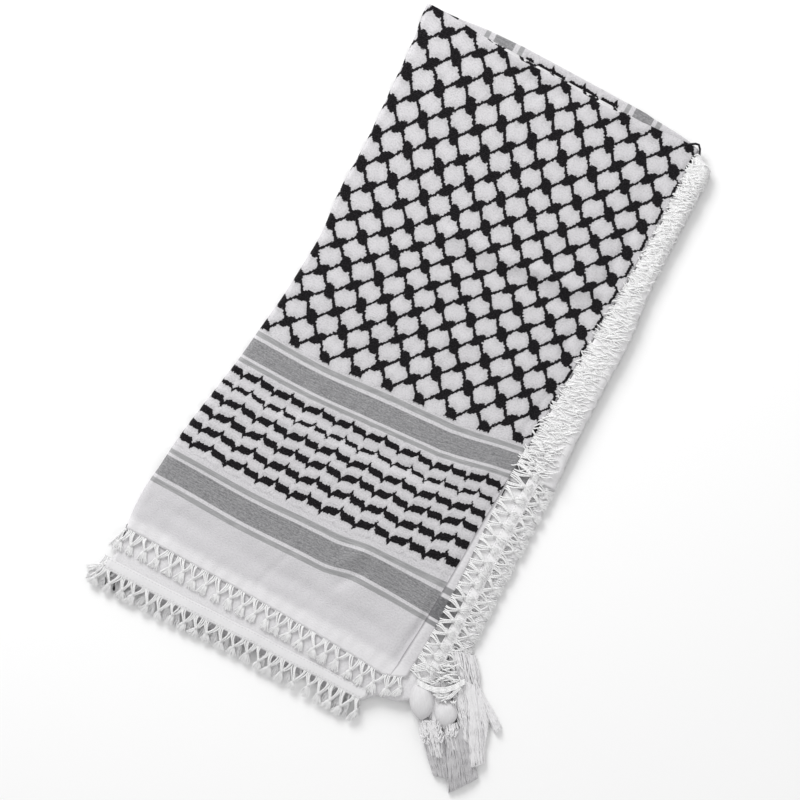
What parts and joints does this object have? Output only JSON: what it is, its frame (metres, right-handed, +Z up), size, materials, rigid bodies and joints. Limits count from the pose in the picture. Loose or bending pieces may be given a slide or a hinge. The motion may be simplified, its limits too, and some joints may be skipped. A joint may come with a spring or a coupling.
{
  "type": "keffiyeh headscarf",
  "caption": "Square cotton headscarf in black and white net weave with knotted fringe and corner tassels, folded into a flat packet.",
  "frame": {"origin": "centre of the underside of the whole folded packet's box, on the surface that it lies on", "axes": "+X across the packet from the long fold to the fringed hems, +Y up the packet to the top fold, +Z up off the surface"},
  "size_m": [0.41, 0.637, 0.018],
  "materials": {
    "front_cloth": "matt woven cotton, black net and leaf pattern on white",
    "second_cloth": "matt woven cotton, white",
    "inner_cloth": "matt woven cotton, white with grey bars",
    "core_cloth": "matt woven cotton, folded plies",
    "hem_tape": "matt cotton tape, stitched twice",
    "fringe_yarn": "soft twisted cotton yarn, knotted",
    "lower_yarn": "soft twisted cotton yarn, heaped",
    "tassel_yarn": "soft twisted cotton yarn, wound and cut"
  },
  "bodies": {
    "root": {"front_quarter": "front_cloth", "second_quarter": "second_cloth", "inner_fold": "inner_cloth", "folded_core": "core_cloth", "second_hem_right": "hem_tape", "second_hem_lower": "hem_tape", "front_hem_right": "front_cloth", "front_fringe_right": "fringe_yarn", "front_fringe_lower": "fringe_yarn", "second_fringe_right": "fringe_yarn", "second_fringe_lower": "fringe_yarn", "lower_fringe_right": "lower_yarn", "lower_fringe_lower": "lower_yarn", "tassel_front": "tassel_yarn", "tassel_second": "tassel_yarn", "tassel_third": "tassel_yarn", "tassel_fourth": "tassel_yarn"}
  },
  "joints": []
}
